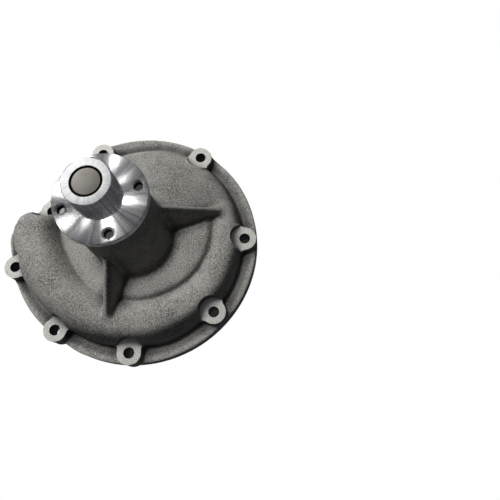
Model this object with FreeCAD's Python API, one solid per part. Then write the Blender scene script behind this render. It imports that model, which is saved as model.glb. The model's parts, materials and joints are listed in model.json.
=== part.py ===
"""Belt-driven engine coolant pump, cast-iron volute housing with a pressed fan hub.

Frame: origin on the shaft axis in the plane of the engine's mounting face, +Z along the
shaft towards the fan. Millimetres; angles in degrees, counter-clockwise seen from the fan side.
"""
import FreeCAD, Part
import math
import os

Vec = FreeCAD.Vector
INCH = 25.4

# ---- driving dimensions -------------------------------------------------------------------

# Gasket and flange
GASKET_THICK = 0.8
FLANGE_TOP = 10.0             # outer face of the rim band
RIM_R = 117.0                 # concentric part of the flange outline
RIM_FROM, RIM_TO = -120.0, 120.0   # where the outline is that circle
BOLT_HOLE_R = 5.15            # 3/8 in bolts
GASKET_HOLE_R = 5.5
BOSS_R = 11.2
BOSS_TOP = 19.5
SPOTFACE_R = 13.5             # the cutter that faces the bosses bites into the volute wall
BACKING = 4.0                 # metal left between that bite and the water
BOSSES = [(94.2, 159.9), (120.3, -167.9), (111.8, -129.4), (107.2, -89.6),
          (104.1, -41.9), (105.4, 1.0), (107.2, 56.4), (104.5, 114.1)]   # radius, angle

# Flange outline beyond the circle: the volute's tail, then the shoulder above it
TAIL = [(117.0, -120.0), (120.5, -141.0), (125.0, -159.0), (131.0, -178.0), (133.0, 174.5),
        (127.0, 167.5), (114.0, 161.5), (109.5, 155.0), (109.0, 146.0), (105.8, 136.0),
        (110.5, 127.0), (117.0, 120.0)]

# Inside of the volute at the engine face, from behind the tongue round to the throat's end
VOLUTE = [(75.4, 171.0), (77.2, 155.0), (83.0, 133.0), (91.0, 106.0), (95.6, 77.0),
          (99.0, 50.0), (100.0, 20.0), (98.7, -10.0), (97.0, -38.0), (93.5, -74.0),
          (96.0, -108.0), (103.0, -144.0), (113.7, -177.0), (115.7, 173.0), (111.0, 168.3),
          (100.0, 166.8), (89.0, 168.0), (81.0, 172.0), (77.2, 175.2)]

# Outside of the volute's wall where it leaves the rim band
WALL = [(102.5, 75.0), (103.0, 40.0), (103.0, 5.0), (103.0, -30.0), (102.5, -65.0),
        (101.5, -95.0), (102.8, -120.0), (106.8, -145.0), (112.5, -160.0), (119.0, -177.0),
        (121.0, 174.5), (117.0, 168.0), (107.0, 164.0), (96.0, 162.5), (89.0, 157.0),
        (88.5, 147.0), (92.0, 130.0), (98.0, 108.0)]
WALL_DRAFT = 4.0              # how far the wall leans in over WALL_HEIGHT
WALL_HEIGHT = 50.0            # above every part of the cast surface
WALL_THICK = 6.0

# Top of the casting: a plateau inside the scroll, a dome over the rest
SCROLL_START, SCROLL_END = -186.0, 12.0    # angles between which the scroll stands proud
VALLEY = [(-186.0, 72.0), (-157.0, 63.0), (-114.0, 61.0), (-60.0, 65.5), (-33.0, 71.0),
          (12.0, 78.5)]       # angle, radius of the valley between plateau and scroll
CREST = [(-186.0, 46.0), (-150.0, 44.5), (-100.0, 38.5), (-45.0, 33.5), (12.0, 28.0)]
CREST_PLACE = (0.5, 0.62)     # crest's place between valley and wall, at start and end
INNER_FLANK = 3.0             # power of the scroll's inner side: steep at the valley, flat on top
OUTER_REACH = 7.0             # how far beyond the wall the outer side would come down
PLATEAU_Z = 31.0
VALLEY_DROP = [(-186.0, 0.3), (-125.0, 1.0), (-70.0, 3.6), (12.0, 4.0)]   # angle, depth below
VALLEY_WIDTH = 4.5
DOME_EDGE_Z, DOME_TOP_Z = 18.0, 47.0
DOME_EDGE_R = 102.0
GRID_STEP = 4.5               # spacing of the points that carry the cast surface
GRID_X = (-144.0, 126.0)
GRID_Y = (-130.0, 126.0)
GRID_DEPTH = 150.0            # the surface is extruded down past the engine face

# Snout that holds the bearing
SNOUT_FOOT_R, SNOUT_TOP_R = 38.0, 33.5
SNOUT_Z = (20.0, 112.0)       # its lower end hangs in the volute and holds the seal
SNOUT_EDGE = 1.5
RIB_ANGLES = (-102.0, 18.0, 138.0)
RIB_THICK = 9.0
RIB_TIPS = (89.0, 87.0, 84.0)  # radius each rib reaches
RIB_BOTTOM_Z, RIB_TIP_Z, RIB_TOP_Z = 15.0, 32.0, 78.5
RIB_ROUND = 4.0
WEEP_R, WEEP_Z, WEEP_ANGLE = 3.0, 46.5, 165.0

# Bearing: integral shaft, balls at the impeller end, rollers at the fan end
RACE_R = 26.0
RACE_BORE_R = 19.84
RACE_Z = (50.0, 101.6)
JOURNAL_R = 12.7              # 1 in shaft
PITCH_R = 16.27
BALL_R, BALL_COUNT, BALL_Z = 4.7625, 9, 65.0
BALL_GROOVE_R = 4.95
ROLLER_R, ROLLER_COUNT, ROLLER_Z = 3.5, 12, (79.0, 92.0)
CAGE_R = (15.2, 17.3)
POCKET_GAP = 0.2
BEARING_SEAL_THICK = 3.0
LIP_GAP = 0.2
CLIP_Z = (101.8, 103.4)
CLIP_GROOVE_R = 27.5
CLIP_WIDTH = 2.6
CLIP_OPENS_AT, CLIP_HALF_GAP = 60.0, 16.0
CLIP_LUG_R, CLIP_EYE_R = 2.3, 0.9

# Shaft and hub
HUB_BORE_R = 0.875 * INCH / 2
FLANGE_R = 1.5 * INCH
PILOT_R = 0.75 * INCH
HUB_Z = (107.0, 120.6, 127.0, 156.5)   # barrel start, flange back, flange front, nose end
HUB_BARREL_R = 21.0
HUB_PCD_R = 30.8
HUB_HOLE_R = 3.7              # tapped 5/16 in
HUB_HOLE_ANGLE = 17.8
HUB_SINK = 1.6                # countersink at the mouth of each tapped hole
HUB_EDGE = 0.6
PILOT_UNDERCUT = 0.7          # relief at the foot of the pilot, so the fan seats flat
BORE_CHAMFER = 1.3
SHAFT_END = 156.2
SEAL_SHAFT_R = 9.5
IMPELLER_SHAFT_R = 7.94

# Seal and impeller
SEAL_BORE_R = 18.25
SEAL_BORE_Z = (10.0, 42.0)
WEEP_CHAMBER_R = 22.0
SEAT_Z = (20.0, 23.0, 28.0)
CARBON_Z = (28.2, 33.0)
CASE_Z = (26.0, 41.0)
SHEET = 0.8                   # pressed brass and steel thickness
SPRING_MEAN_R, SPRING_WIRE_R, SPRING_TURNS = 15.9, 0.7, 2.5
IMPELLER_R = 62.0
IMPELLER_Z = (3.0, 11.5, 15.0, 20.0)   # vane edge, plate front, plate back, hub end
IMPELLER_HUB_R = 15.0
VANE_COUNT = 6
VANE_HALF = 2.0
VANE_SWEEP = 46.0             # degrees that a vane trails per unit of ln(radius)
RELIEF_R, RELIEF_PCD_R, RELIEF_ANGLE = 3.5, 27.0, 40.0   # three holes that balance the thrust

# ---- helpers ------------------------------------------------------------------------------


def polar(radius, degrees, z=0.0):
    turn = math.radians(degrees)
    return Vec(radius * math.cos(turn), radius * math.sin(turn), z)


def disc(radius, z_low, z_high, centre=(0.0, 0.0)):
    return Part.makeCylinder(radius, z_high - z_low, Vec(centre[0], centre[1], z_low))


def ring(r_in, r_out, z_low, z_high):
    return disc(r_out, z_low, z_high).cut(disc(r_in, z_low - 1, z_high + 1))


def turned(profile):
    """Solid of revolution about Z from (radius, z) corners."""
    corners = [Vec(r, 0, z) for r, z in profile]
    face = Part.Face(Part.makePolygon(corners + corners[:1]))
    return face.revolve(Vec(0, 0, 0), Vec(0, 0, 1), 360)


def around(shape, count, first=0.0):
    """Copies of a shape, evenly turned about Z."""
    copies = []
    for i in range(count):
        copy = shape.copy()
        copy.rotate(Vec(0, 0, 0), Vec(0, 0, 1), first + 360.0 * i / count)
        copies.append(copy)
    return copies


def spline_edge(points, **ends):
    curve = Part.BSplineCurve()
    curve.interpolate(Points=points, **ends)
    return curve.toShape()


def prism(wire, height):
    return Part.Face(wire).extrude(Vec(0, 0, height))


def between(table, x):
    """Value at x on a smooth curve through (x, value) rows; level beyond the ends."""
    if x <= table[0][0]:
        return table[0][1]
    if x >= table[-1][0]:
        return table[-1][1]
    last = len(table) - 1
    i = max(k for k in range(last) if table[k][0] <= x)

    def slope(k):
        low, high = table[max(k - 1, 0)], table[min(k + 1, last)]
        return (high[1] - low[1]) / (high[0] - low[0])

    (x0, y0), (x1, y1) = table[i], table[i + 1]
    width = x1 - x0
    t = (x - x0) / width
    cubic = t * t * (3 - 2 * t)
    bend = width * t * (1 - t) * (slope(i) * (1 - t) - slope(i + 1) * t)
    return y0 + (y1 - y0) * cubic + bend


def smooth_step(x, low, high):
    t = min(max((x - low) / (high - low), 0.0), 1.0)
    return t * t * (3 - 2 * t)


def smooth_max(a, b, softness):
    return 0.5 * (a + b + math.sqrt((a - b) ** 2 + softness ** 2))


def save(shape, name):
    if not shape.isValid():
        print("not valid:", name)
    shape.exportStep("parts/%s.step" % name)
    print("%-20s solids %2d volume %9.0f" % (name, len(shape.Solids), shape.Volume))


# ---- outlines -----------------------------------------------------------------------------


def flange_wire(z):
    """Rim circle, closed by the spline round the tail and the shoulder."""
    start, end = polar(RIM_R, RIM_TO, z), polar(RIM_R, RIM_FROM, z)
    rim = Part.Arc(start, polar(RIM_R, 0.5 * (RIM_FROM + RIM_TO), z), end).toShape()
    tail = spline_edge(
        [polar(r, a, z) for r, a in TAIL],
        InitialTangent=polar(1, RIM_FROM - 90),
        FinalTangent=polar(1, RIM_TO - 90),
    )
    return Part.Wire([rim, tail])


def volute_wire(z):
    return Part.Wire([spline_edge([polar(r, a, z) for r, a in VOLUTE], PeriodicFlag=True)])


def wall_wire(z, lean):
    return Part.Wire([spline_edge([polar(r - lean, a, z) for r, a in WALL], PeriodicFlag=True)])


def wall_radius(degrees):
    """Radius of the wall's foot at an angle."""
    table = sorted((a + turn, r) for r, a in WALL for turn in (-360, 0, 360))
    return between(table, degrees)


# ---- the casting's top surface ------------------------------------------------------------


def cast_height(x, y):
    """Outside height of the casting over the plan point (x, y)."""
    radius = math.hypot(x, y)
    angle = math.degrees(math.atan2(y, x))
    along = angle - 360 if angle > 120 else angle     # unwrapped: the scroll runs -186 to 12
    valley = between(VALLEY, along)
    place = between(((SCROLL_START, CREST_PLACE[0]), (SCROLL_END, CREST_PLACE[1])), along)
    wall = wall_radius(angle) if along > SCROLL_START else wall_radius(SCROLL_START + 360)
    crest_r = valley + place * (wall - valley)
    if along < SCROLL_START or along > SCROLL_END:
        end = polar(crest_r, SCROLL_START if along < SCROLL_START else SCROLL_END)
        off = -math.hypot(x - end.x, y - end.y)
    else:
        off = radius - crest_r
    drop = between(VALLEY_DROP, along)
    floor = PLATEAU_Z - drop
    if off < 0:
        swell = 1 - (-off / (crest_r - valley)) ** INNER_FLANK
    else:
        swell = 1 - (off / (wall - crest_r + OUTER_REACH)) ** 2
    scroll = floor + (between(CREST, along) - floor) * max(swell, -2.0)
    in_plateau = 1 - smooth_step(along, SCROLL_END - 2, SCROLL_END + 16)
    in_plateau *= smooth_step(along, -222, -206)
    dip = drop * math.exp(-((radius - valley) / VALLEY_WIDTH) ** 2)
    fade = smooth_step(radius, valley, valley + 12)
    plateau = PLATEAU_Z - dip - fade * drop
    t = (radius - SNOUT_FOOT_R) / (DOME_EDGE_R - SNOUT_FOOT_R)
    t = min(max(t, -0.2), 1.2)
    dome = DOME_TOP_Z + (DOME_EDGE_Z - DOME_TOP_Z) * (0.75 * t + 0.25 * t * abs(t))
    base = dome + (plateau - dome) * in_plateau
    return smooth_max(base, scroll, 2.5)


def under_cast_surface(drop):
    """Everything below the cast surface lowered by drop."""
    columns = int(round((GRID_X[1] - GRID_X[0]) / GRID_STEP)) + 1
    rows = int(round((GRID_Y[1] - GRID_Y[0]) / GRID_STEP)) + 1
    grid = []
    for i in range(columns):
        x = GRID_X[0] + i * (GRID_X[1] - GRID_X[0]) / (columns - 1)
        line = []
        for j in range(rows):
            y = GRID_Y[0] + j * (GRID_Y[1] - GRID_Y[0]) / (rows - 1)
            line.append(Vec(x, y, cast_height(x, y) - drop))
        grid.append(line)
    surface = Part.BSplineSurface()
    surface.interpolate(grid)
    return surface.toShape().extrude(Vec(0, 0, -GRID_DEPTH))


# ---- pump body ----------------------------------------------------------------------------


def rib(tip_r, degrees):
    """One gusset from the snout down to the scroll."""
    root_r, crest_r = SNOUT_TOP_R - 13, SNOUT_TOP_R + 2.5
    corners = [(root_r, RIB_BOTTOM_Z), (tip_r, RIB_BOTTOM_Z), (tip_r, RIB_TIP_Z - 2),
               (tip_r - 3, RIB_TIP_Z + 1), (crest_r, RIB_TOP_Z), (root_r, RIB_TOP_Z)]
    points = [Vec(r, -RIB_THICK / 2, z) for r, z in corners]
    plate = Part.Face(Part.makePolygon(points + points[:1])).extrude(Vec(0, RIB_THICK, 0))
    crest = [e for e in plate.Edges
             if abs(e.Vertexes[0].Y - e.Vertexes[1].Y) < 1e-6
             and min(v.X for v in e.Vertexes) > SNOUT_TOP_R
             and max(v.Z for v in e.Vertexes) > RIB_TIP_Z]
    gusset = plate.makeFillet(RIB_ROUND, crest)
    gusset.rotate(Vec(0, 0, 0), Vec(0, 0, 1), degrees)
    return gusset


def at_bosses(radius, z_low, z_high):
    return [disc(radius, z_low, z_high, polar(r, a)[:2]) for r, a in BOSSES]


def pump_body():
    over = WALL_HEIGHT + 10
    wall = Part.makeLoft([wall_wire(GASKET_THICK, 0), wall_wire(WALL_HEIGHT, WALL_DRAFT)], True)
    flange = prism(flange_wire(GASKET_THICK), FLANGE_TOP - GASKET_THICK)
    ribs = [rib(r, a) for r, a in zip(RIB_TIPS, RIB_ANGLES)]
    body = wall.common(under_cast_surface(0)).fuse([flange] + ribs)
    hollow = prism(volute_wire(-1), over).common(under_cast_surface(WALL_THICK))
    body = body.cut(hollow.cut(at_bosses(SPOTFACE_R + BACKING, BOSS_TOP - BACKING, over)))
    body = body.fuse(at_bosses(BOSS_R, GASKET_THICK, BOSS_TOP))
    body = body.cut(at_bosses(SPOTFACE_R, BOSS_TOP, over))
    z_low, z_top = SNOUT_Z
    body = body.fuse(turned([(0, z_low), (SNOUT_FOOT_R, z_low), (SNOUT_TOP_R, z_top - SNOUT_EDGE),
                             (SNOUT_TOP_R - SNOUT_EDGE, z_top), (0, z_top)]))
    lead_in = SNOUT_EDGE + 0.5
    bores = [disc(SEAL_BORE_R, *SEAL_BORE_Z),
             disc(WEEP_CHAMBER_R, SEAL_BORE_Z[1], RACE_Z[0]),
             disc(RACE_R, RACE_Z[0], z_top + 1),
             disc(CLIP_GROOVE_R, *CLIP_Z),
             turned([(RACE_R, z_top - lead_in), (RACE_R, z_top + 1), (RACE_R + lead_in, z_top + 1)])]
    weep = Part.makeCylinder(WEEP_R, SNOUT_FOOT_R, polar(WEEP_CHAMBER_R / 2, WEEP_ANGLE, WEEP_Z),
                             polar(1, WEEP_ANGLE))
    return body.cut(bores + [weep] + at_bosses(BOLT_HOLE_R, 0, over))


def mounting_gasket():
    sheet = prism(flange_wire(0), GASKET_THICK).fuse(at_bosses(BOSS_R, 0, GASKET_THICK))
    window = prism(volute_wire(-1), GASKET_THICK + 2)
    return sheet.cut([window] + at_bosses(GASKET_HOLE_R, -1, GASKET_THICK + 1)).removeSplitter()


# ---- bearing ------------------------------------------------------------------------------


def groove(radius_in):
    """Ball track, as a torus round the axis."""
    return Part.makeTorus(PITCH_R, radius_in, Vec(0, 0, BALL_Z))


def bearing_outer_race():
    return ring(RACE_BORE_R, RACE_R, *RACE_Z).cut(groove(BALL_GROOVE_R))


def rear_balls():
    ball = Part.makeSphere(BALL_R, Vec(PITCH_R, 0, BALL_Z))
    return Part.makeCompound(around(ball, BALL_COUNT))


def front_rollers():
    roller = disc(ROLLER_R, *ROLLER_Z, (PITCH_R, 0))
    return Part.makeCompound(around(roller, ROLLER_COUNT))


def rear_cage():
    """Ring with a pocket drilled through it for each ball."""
    pocket = Part.makeCylinder(BALL_R + POCKET_GAP, 20, Vec(5, 0, BALL_Z), Vec(1, 0, 0))
    return ring(*CAGE_R, BALL_Z - 6.5, BALL_Z + 6.5).cut(around(pocket, BALL_COUNT))


def front_cage():
    z_low, z_high = ROLLER_Z
    pocket = disc(ROLLER_R + POCKET_GAP, z_low - POCKET_GAP, z_high + POCKET_GAP, (PITCH_R, 0))
    return ring(*CAGE_R, z_low - 2, z_high + 2).cut(around(pocket, ROLLER_COUNT))


def bearing_seal(z_out, direction):
    """Rubber lip seal whose outer face is at z_out; direction points into the bearing."""
    t = BEARING_SEAL_THICK * direction
    return turned([(RACE_BORE_R, z_out), (RACE_BORE_R, z_out + t), (18.0, z_out + t),
                   (17.0, z_out + 0.5 * t), (14.6, z_out + 0.5 * t), (JOURNAL_R + LIP_GAP, z_out + t),
                   (JOURNAL_R + LIP_GAP, z_out + 0.6 * t), (14.2, z_out)])


def retaining_ring():
    """Internal circlip: open ring with two drilled lugs."""
    r_out = CLIP_GROOVE_R - 0.1
    clip = ring(r_out - CLIP_WIDTH, r_out, *CLIP_Z)
    wedge = Part.makeCylinder(2 * r_out, 10, Vec(0, 0, CLIP_Z[0] - 1), Vec(0, 0, 1), 2 * CLIP_HALF_GAP)
    wedge.rotate(Vec(0, 0, 0), Vec(0, 0, 1), CLIP_OPENS_AT - CLIP_HALF_GAP)
    clip = clip.cut(wedge)
    for side in (-1, 1):
        at = polar(r_out - CLIP_LUG_R - 1, CLIP_OPENS_AT + side * (CLIP_HALF_GAP + 3))[:2]
        clip = clip.fuse(disc(CLIP_LUG_R, *CLIP_Z, at)).cut(disc(CLIP_EYE_R, *CLIP_Z, at))
    return clip.common(disc(r_out, *CLIP_Z))


# ---- rotor --------------------------------------------------------------------------------


def shaft():
    profile = [(0, IMPELLER_Z[0] + 0.5), (IMPELLER_SHAFT_R - 0.8, IMPELLER_Z[0] + 0.5),
               (IMPELLER_SHAFT_R, IMPELLER_Z[0] + 1.3), (IMPELLER_SHAFT_R, SEAT_Z[0]),
               (SEAL_SHAFT_R, SEAT_Z[0] + 0.6), (SEAL_SHAFT_R, RACE_Z[0] - 1),
               (JOURNAL_R, RACE_Z[0]), (JOURNAL_R, 104.0), (HUB_BORE_R, 105.0),
               (HUB_BORE_R, SHAFT_END - 0.7), (HUB_BORE_R - 0.7, SHAFT_END), (0, SHAFT_END)]
    return turned(profile).cut(groove(BALL_GROOVE_R))


def fan_hub():
    z0, z1, z2, z3 = HUB_Z
    profile = [(HUB_BORE_R, z0), (HUB_BARREL_R - 1, z0), (HUB_BARREL_R, z0 + 1),
               (HUB_BARREL_R, z1), (FLANGE_R - HUB_EDGE, z1), (FLANGE_R, z1 + HUB_EDGE),
               (FLANGE_R, z2 - HUB_EDGE), (FLANGE_R - HUB_EDGE, z2), (PILOT_R, z2),
               (PILOT_R - PILOT_UNDERCUT, z2 + 0.4), (PILOT_R - PILOT_UNDERCUT, z2 + 1.8),
               (PILOT_R, z2 + 2.2), (PILOT_R, z3 - 0.8), (PILOT_R - 0.8, z3),
               (HUB_BORE_R + BORE_CHAMFER, z3), (HUB_BORE_R, z3 - BORE_CHAMFER)]
    hole = disc(HUB_HOLE_R, z1 - 1, z2 + 1, (HUB_PCD_R, 0))
    mouth = Vec(HUB_PCD_R, 0, z2 - HUB_EDGE)
    sink = Part.makeCone(HUB_HOLE_R, HUB_HOLE_R + HUB_SINK, HUB_SINK, mouth)
    return turned(profile).cut(around(hole.fuse(sink), 4, HUB_HOLE_ANGLE))


def slinger():
    """Flanged disc that throws leakage outwards into the drain chamber."""
    return turned([(SEAL_SHAFT_R, 43.2), (12.0, 43.2), (12.0, 45.0), (18.5, 46.6), (18.5, 47.6),
                   (12.0, 46.0), (12.0, 48.4), (SEAL_SHAFT_R, 48.4)])


def vane():
    """One vane standing on the plate's front, trailing the clockwise rotation."""
    radii = [IMPELLER_HUB_R - 2 + i * (IMPELLER_R - IMPELLER_HUB_R + 1) / 6.0 for i in range(7)]

    def side(sign):
        line = []
        for r in radii:
            sweep = VANE_SWEEP * math.log(r / IMPELLER_HUB_R)
            line.append(polar(r, sweep + sign * math.degrees(VANE_HALF / r), IMPELLER_Z[0]))
        return line

    left, right = side(1), side(-1)
    wire = Part.Wire([spline_edge(left), Part.makeLine(left[-1], right[-1]),
                      spline_edge(right[::-1]), Part.makeLine(right[0], left[0])])
    return prism(wire, IMPELLER_Z[1] - IMPELLER_Z[0] + 0.5)


def impeller():
    z_edge, z_front, z_back, z_hub = IMPELLER_Z
    above = z_hub + 10
    disc_and_hub = turned([(0, z_edge), (IMPELLER_HUB_R - 1, z_edge), (IMPELLER_HUB_R, z_edge + 1),
                           (IMPELLER_HUB_R + 1.5, z_front), (IMPELLER_R, z_front + 1),
                           (IMPELLER_R, z_back), (IMPELLER_HUB_R + 6, z_back),
                           (IMPELLER_HUB_R, z_back + 3), (IMPELLER_HUB_R, z_hub), (0, z_hub)])
    wheel = disc_and_hub.fuse(around(vane(), VANE_COUNT)).common(disc(IMPELLER_R, 0, above))
    relief = around(disc(RELIEF_R, 0, above, (RELIEF_PCD_R, 0)), 3, RELIEF_ANGLE)
    return wheel.cut([disc(IMPELLER_SHAFT_R, 0, above)] + relief)


# ---- mechanical seal ----------------------------------------------------------------------


def seat_boot():
    z0, z1, z2 = SEAT_Z
    return turned([(SEAL_SHAFT_R, z0 + 0.8), (10.2, z0), (16.6, z0), (16.6, z2 - 2), (15.2, z2 - 2),
                   (15.2, z1), (SEAL_SHAFT_R, z1)])


def seal_seat():
    return ring(10.4, 15.2, SEAT_Z[1], SEAT_Z[2])


def seal_carbon_ring():
    z0, z1 = CARBON_Z
    return turned([(11.0, z0), (13.2, z0), (13.2, z0 + 1.2), (14.2, z0 + 1.2), (14.2, z1), (11.0, z1)])


def seal_retainer():
    """Pressed shell round the carbon ring that seats the spring."""
    z1 = CARBON_Z[1]
    return turned([(14.2, 30.0), (15.0, 30.0), (15.0, z1 - SHEET), (17.0, z1 - SHEET),
                   (17.0, z1), (14.2, z1)])


def seal_bellows():
    """Convoluted rubber sleeve between the carbon ring and the case."""
    z0, z1 = CARBON_Z[1], CASE_Z[1] - SHEET
    folds, wall, r_low, r_high = 3, 0.9, 11.3, 12.9
    steps = [(r_low if i % 2 else r_high, z0 + (z1 - z0) * i / (2.0 * folds))
             for i in range(2 * folds + 1)]
    outer = [(r + wall, z) for r, z in reversed(steps)]
    return turned(steps + outer)


def seal_spring():
    """Open coil, drawn as a smooth curve through points on a helix."""
    reach = SPRING_WIRE_R + 0.02
    z0, z1 = CARBON_Z[1] + reach, CASE_Z[1] - SHEET - reach
    steps = 60
    helix = Part.BSplineCurve()
    helix.interpolate([polar(SPRING_MEAN_R, 360 * SPRING_TURNS * i / steps, z0 + (z1 - z0) * i / steps)
                       for i in range(steps + 1)])
    start = helix.FirstParameter
    wire = Part.Circle(helix.value(start), helix.tangent(start)[0], SPRING_WIRE_R).toShape()
    return Part.Wire([helix.toShape()]).makePipeShell([Part.Wire([wire])], True, True)


def seal_case():
    z0, z1 = CASE_Z
    return turned([(SEAL_BORE_R, z0), (SEAL_BORE_R, z1), (10.9, z1), (10.9, z1 - SHEET),
                   (SEAL_BORE_R - SHEET, z1 - SHEET), (SEAL_BORE_R - SHEET, z0)])


NODES = {
    "pump_body": pump_body,
    "mounting_gasket": mounting_gasket,
    "bearing_outer_race": bearing_outer_race,
    "rear_balls": rear_balls,
    "front_rollers": front_rollers,
    "rear_cage": rear_cage,
    "front_cage": front_cage,
    "rear_bearing_seal": lambda: bearing_seal(RACE_Z[0] + 1.0, 1),
    "front_bearing_seal": lambda: bearing_seal(RACE_Z[1] - 1.0, -1),
    "retaining_ring": retaining_ring,
    "shaft": shaft,
    "fan_hub": fan_hub,
    "slinger": slinger,
    "impeller": impeller,
    "seat_boot": seat_boot,
    "seal_seat": seal_seat,
    "seal_carbon_ring": seal_carbon_ring,
    "seal_retainer": seal_retainer,
    "seal_bellows": seal_bellows,
    "seal_spring": seal_spring,
    "seal_case": seal_case,
}

os.makedirs("parts", exist_ok=True)
for node, make in NODES.items():
    save(make(), node)
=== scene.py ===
"""Looks of the engine coolant pump: sand-cast housing, turned hub, and every part inside.

Shapes are worked out in millimetres, in the frame's axes, and scaled to metres when meshed.
"""
import json
import math

import bpy
import numpy as np
from mathutils import Matrix, Vector


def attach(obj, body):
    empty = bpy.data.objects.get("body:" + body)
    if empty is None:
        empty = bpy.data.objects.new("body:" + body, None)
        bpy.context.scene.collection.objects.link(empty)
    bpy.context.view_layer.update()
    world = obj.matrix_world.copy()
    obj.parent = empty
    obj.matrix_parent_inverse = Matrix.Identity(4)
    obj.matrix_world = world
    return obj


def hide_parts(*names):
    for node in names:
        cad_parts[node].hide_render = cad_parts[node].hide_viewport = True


MM = 0.001

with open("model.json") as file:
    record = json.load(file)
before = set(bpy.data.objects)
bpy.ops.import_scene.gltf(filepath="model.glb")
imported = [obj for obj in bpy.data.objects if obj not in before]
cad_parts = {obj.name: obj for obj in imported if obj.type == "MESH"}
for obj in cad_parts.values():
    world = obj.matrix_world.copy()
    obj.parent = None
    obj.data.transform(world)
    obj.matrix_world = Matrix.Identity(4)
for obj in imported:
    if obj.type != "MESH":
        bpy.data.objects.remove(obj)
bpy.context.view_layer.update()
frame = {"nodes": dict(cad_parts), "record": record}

# ---- the casting's dimensions, as in the CAD ------------------------------------------------

GASKET_THICK = 0.8
FLANGE_TOP = 10.0
RIM_R = 117.0
RIM_FROM, RIM_TO = -120.0, 120.0
BOLT_HOLE_R = 5.15
BOSS_R = 11.2
BOSS_TOP = 19.5
SPOTFACE_R = 13.5
BACKING = 4.0
BOSSES = [(94.2, 159.9), (120.3, -167.9), (111.8, -129.4), (107.2, -89.6),
          (104.1, -41.9), (105.4, 1.0), (107.2, 56.4), (104.5, 114.1)]
TAIL = [(117.0, -120.0), (120.5, -141.0), (125.0, -159.0), (131.0, -178.0), (133.0, 174.5),
        (127.0, 167.5), (114.0, 161.5), (109.5, 155.0), (109.0, 146.0), (105.8, 136.0),
        (110.5, 127.0), (117.0, 120.0)]
VOLUTE = [(75.4, 171.0), (77.2, 155.0), (83.0, 133.0), (91.0, 106.0), (95.6, 77.0),
          (99.0, 50.0), (100.0, 20.0), (98.7, -10.0), (97.0, -38.0), (93.5, -74.0),
          (96.0, -108.0), (103.0, -144.0), (113.7, -177.0), (115.7, 173.0), (111.0, 168.3),
          (100.0, 166.8), (89.0, 168.0), (81.0, 172.0), (77.2, 175.2)]
WALL = [(102.5, 75.0), (103.0, 40.0), (103.0, 5.0), (103.0, -30.0), (102.5, -65.0),
        (101.5, -95.0), (102.8, -120.0), (106.8, -145.0), (112.5, -160.0), (119.0, -177.0),
        (121.0, 174.5), (117.0, 168.0), (107.0, 164.0), (96.0, 162.5), (89.0, 157.0),
        (88.5, 147.0), (92.0, 130.0), (98.0, 108.0)]
WALL_SLOPE = 0.08
WALL_THICK = 6.0
SCROLL_START, SCROLL_END = -186.0, 12.0
VALLEY = [(-186.0, 72.0), (-157.0, 63.0), (-114.0, 61.0), (-60.0, 65.5), (-33.0, 71.0),
          (12.0, 78.5)]
CREST = [(-186.0, 46.0), (-150.0, 44.5), (-100.0, 38.5), (-45.0, 33.5), (12.0, 28.0)]
CREST_PLACE = (0.5, 0.62)
INNER_FLANK, OUTER_REACH = 3.0, 7.0
PLATEAU_Z = 31.0
VALLEY_DROP = [(-186.0, 0.3), (-125.0, 1.0), (-70.0, 3.6), (12.0, 4.0)]
VALLEY_WIDTH = 4.5
DOME_EDGE_Z, DOME_TOP_Z = 18.0, 47.0
DOME_EDGE_R = 102.0
SNOUT_FOOT_R, SNOUT_TOP_R = 38.0, 33.5
SNOUT_FOOT_Z, SNOUT_TOP = 20.0, 112.0
RIB_ANGLES = (-102.0, 18.0, 138.0)
RIB_THICK = 9.0
RIB_TIPS = (89.0, 87.0, 84.0)
RIB_TOP_Z, RIB_TIP_Z = 78.5, 32.0
WEEP_R, WEEP_Z, WEEP_ANGLE = 3.0, 46.5, 165.0
SEAL_BORE_R, SEAL_BORE_TOP = 18.25, 42.0
WEEP_CHAMBER_R, RACE_R, RACE_FOOT = 22.0, 26.0, 50.0
CLIP_GROOVE_R, CLIP_Z = 27.5, (101.8, 103.4)

# ---- hub and shaft, as in the CAD ----

HUB_BORE_R, FLANGE_R, PILOT_R, HUB_BARREL_R = 11.1125, 38.1, 19.05, 21.0
HUB_Z = (107.0, 120.6, 127.0, 156.5)
HUB_PCD_R, HUB_HOLE_R, HUB_HOLE_ANGLE = 30.8, 3.7, 17.8
HUB_SINK, BORE_CHAMFER = 1.6, 1.3
THREAD_PITCH, THREAD_DEPTH = 1.06, 0.35
SHAFT_END, SHAFT_FOOT = 156.2, 3.5
SEAL_SHAFT_R, IMPELLER_SHAFT_R, SEAT_FOOT = 9.5, 7.94, 20.0
JOURNAL_R, PITCH_R, BALL_GROOVE_R, BALL_Z = 12.7, 16.27, 4.95, 65.0

# What only the look needs: cast fillets, the trough in the rim band, and the mesh grid
GRID_STEP = 1.0
GRID_X, GRID_Y, GRID_BASE = (-140.0, 124.0), (-130.0, 124.0), -3.0
SHOULDER = 14.0               # roundness of the wall's top edge
FILLET = 6.0                  # roundness where cast surfaces meet
RIB_FILLET = 4.0
SNOUT_FILLET = 10.0           # roundness at the snout's foot
EDGE_TRIM = 0.4               # fillets stop this far outside the outline
CLEAR_Z = 60.0                # above every cast surface outside the snout
TROUGH_Z = 7.2                # lowest part of the rim band, at the wall's foot
TROUGH_RISE = 12.0            # how far out from the wall the band rises to the flange's top


# ---- small tools ----------------------------------------------------------------------------


def polar(radius, degrees):
    turn = math.radians(degrees)
    return radius * math.cos(turn), radius * math.sin(turn)


def smooth_min(a, b, k):
    mix = np.clip(0.5 + 0.5 * (b - a) / k, 0.0, 1.0)
    return b + (a - b) * mix - k * mix * (1.0 - mix)


def smooth_max(a, b, k):
    return -smooth_min(-a, -b, k)


def smooth_step(x, low, high):
    t = np.clip((x - low) / (high - low), 0.0, 1.0)
    return t * t * (3.0 - 2.0 * t)


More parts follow.
